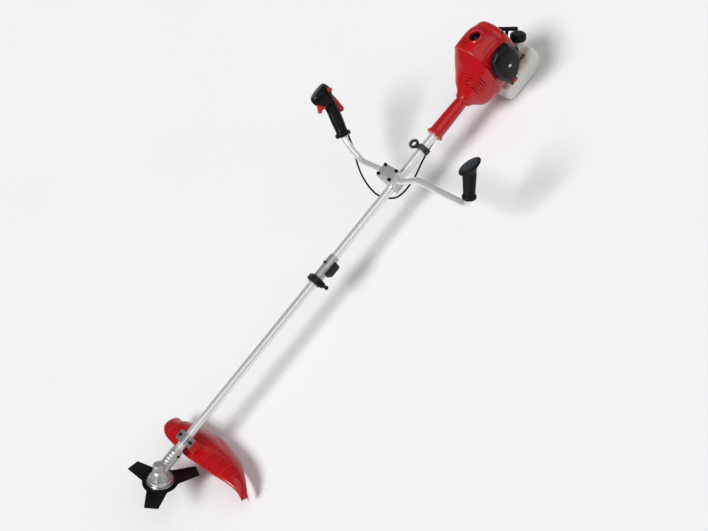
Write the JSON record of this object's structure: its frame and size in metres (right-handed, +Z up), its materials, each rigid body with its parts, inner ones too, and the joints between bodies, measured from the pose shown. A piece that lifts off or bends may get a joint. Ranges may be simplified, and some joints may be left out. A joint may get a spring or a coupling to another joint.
{
  "type": "brush cutter",
  "caption": "Petrol brush cutter: three-arm blade and guard on a split tube shaft, bull handlebars with throttle grip, and a two-stroke engine with its tank at the rear end.",
  "frame": {"origin": "centre of the flat foot under the fuel tank, on the floor and on the upright plane through the shaft", "axes": "+X along the shaft from the blade to the engine, +Y to the operator's right, +Z up"},
  "size_m": [1.8119, 0.6855, 0.3433],
  "materials": {
    "red_plastic": "glossy moulded red plastic",
    "black_plastic": "matt black plastic",
    "black_rubber": "soft black rubber",
    "black_steel": "black coated steel",
    "bare_steel": "bare steel",
    "anodised_tube": "silver anodised aluminium tube",
    "cast_aluminium": "die-cast aluminium",
    "tank_plastic": "milky translucent plastic",
    "filter_foam": "open-cell foam",
    "white_ceramic": "glazed ceramic and plated steel"
  },
  "bodies": {
    "machine": {"air_filter_base": "black_plastic", "air_filter_foam": "filter_foam", "bar_bolt_front_left": "black_steel", "bar_bolt_front_right": "black_steel", "bar_bolt_rear_left": "black_steel", "bar_bolt_rear_right": "black_steel", "bar_clamp_base": "cast_aluminium", "bar_clamp_cap": "cast_aluminium", "carburettor": "cast_aluminium", "clutch_housing": "cast_aluminium", "connecting_rod": "bare_steel", "coupling_collar": "black_plastic", "coupling_cover": "black_plastic", "coupling_sleeve": "cast_aluminium", "crankcase": "cast_aluminium", "crankshaft": "bare_steel", "cylinder": "cast_aluminium", "engine_cowl": "red_plastic", "flywheel_fan": "cast_aluminium", "fuel_tank": "tank_plastic", "handlebar": "anodised_tube", "harness_lug": "black_steel", "left_grip": "black_rubber", "muffler": "bare_steel", "piston": "bare_steel", "rear_grip": "red_plastic", "right_grip_inner": "black_plastic", "right_grip_outer": "black_plastic", "spark_plug": "white_ceramic", "spark_plug_boot": "black_rubber", "starter_housing": "red_plastic", "throttle_cable": "black_rubber", "upper_tube": "anodised_tube"},
    "lower_unit": {"gear_case": "cast_aluminium", "output_bearing": "bare_steel", "debris_guard": "red_plastic", "guard_clamp_lower": "red_plastic", "guard_clamp_upper": "bare_steel", "lower_tube": "anodised_tube"},
    "blade": {"cutting_blade": "black_steel", "blade_flange": "bare_steel", "blade_washer": "bare_steel", "blade_nut": "bare_steel", "output_shaft": "bare_steel", "output_bevel_gear": "bare_steel"},
    "lower_drive": {"lower_drive_shaft": "bare_steel", "input_pinion": "bare_steel"},
    "upper_drive": {"upper_drive_shaft": "bare_steel", "clutch_drum": "bare_steel"},
    "knob": {"coupling_knob": "black_plastic"},
    "pin": {"locking_pin": "black_steel"},
    "trigger": {"throttle_trigger": "red_plastic"},
    "lock": {"throttle_lock": "red_plastic"},
    "switch": {"stop_switch": "red_plastic"},
    "pull_handle": {"starter_handle": "black_plastic"},
    "rope_pulley": {"starter_pulley": "black_plastic"},
    "choke": {"choke_lever": "black_plastic"},
    "primer": {"primer_bulb": "red_plastic"},
    "tank_cap": {"fuel_cap": "black_plastic"},
    "filter_cover": {"air_filter_cover": "black_plastic"}
  },
  "joints": [
    {"name": "shaft_split", "type": "slide", "parent": "machine", "child": "lower_unit", "axis": [-1, 0, 0], "range_m": [0, 0.07]},
    {"name": "blade_spin", "type": "hinge", "parent": "lower_unit", "child": "blade", "pos_m": [-1.599, 0, 0.135], "axis": [0.5693, 0, 0.8221], "continuous": true},
    {"name": "lower_drive_spin", "type": "hinge", "parent": "lower_unit", "child": "lower_drive", "pos_m": [-1.218, 0, 0.135], "axis": [1, 0, 0], "continuous": true},
    {"name": "upper_drive_spin", "type": "hinge", "parent": "machine", "child": "upper_drive", "pos_m": [-0.518, 0, 0.135], "axis": [1, 0, 0], "continuous": true},
    {"name": "knob_turn", "type": "hinge", "parent": "machine", "child": "knob", "pos_m": [-0.879, -0.0313, 0.134], "axis": [0, -1, 0], "range_deg": [0, 720]},
    {"name": "pin_lift", "type": "slide", "parent": "machine", "child": "pin", "axis": [0, 0, 1], "range_m": [0, 0.006], "stiffness_N_per_m": 500, "springref_m": -0.004},
    {"name": "trigger_pull", "type": "hinge", "parent": "machine", "child": "trigger", "pos_m": [-0.44046, 0.28126, 0.30165], "axis": [0.3414, -0.8035, 0.4876], "range_deg": [0, 20], "stiffness_Nm_per_rad": 0.6, "springref_deg": -11.46},
    {"name": "lock_press", "type": "hinge", "parent": "machine", "child": "lock", "pos_m": [-0.4082, 0.28484, 0.28495], "axis": [-0.3414, 0.8035, -0.4876], "range_deg": [0, 9], "stiffness_Nm_per_rad": 0.6, "springref_deg": -11.46},
    {"name": "switch_slide", "type": "slide", "parent": "machine", "child": "switch", "axis": [-0.8192, 0, 0.5736], "range_m": [0, 0.005]},
    {"name": "starter_pull", "type": "slide", "parent": "machine", "child": "pull_handle", "axis": [0.6, 0, 0.8], "range_m": [0, 0.6], "stiffness_N_per_m": 8, "springref_m": -0.6},
    {"name": "pulley_turn", "type": "hinge", "parent": "machine", "child": "rope_pulley", "pos_m": [0.027, 0, 0.135], "axis": [1, 0, 0], "range_deg": [0, 1330]},
    {"name": "choke_turn", "type": "hinge", "parent": "machine", "child": "choke", "pos_m": [0.016, -0.065, 0.129], "axis": [0, 1, 0], "range_deg": [0, 60]},
    {"name": "primer_press", "type": "slide", "parent": "machine", "child": "primer", "axis": [0, 1, 0], "range_m": [0, 0.005], "stiffness_N_per_m": 500, "springref_m": -0.002},
    {"name": "cap_turn", "type": "hinge", "parent": "machine", "child": "tank_cap", "pos_m": [0.084, 0, 0.116], "axis": [0.5, 0, 0.866], "range_deg": [0, 720]},
    {"name": "filter_cover_off", "type": "slide", "parent": "machine", "child": "filter_cover", "axis": [0, -1, 0], "range_m": [0, 0.06]}
  ],
  "couplings": [
    {"joint": "lower_drive_spin", "follows": "blade_spin", "ratio": 1.3333},
    {"joint": "upper_drive_spin", "follows": "blade_spin", "ratio": 1.3333},
    {"joint": "pulley_turn", "follows": "starter_pull", "rad_per_m": 38.46}
  ]
}
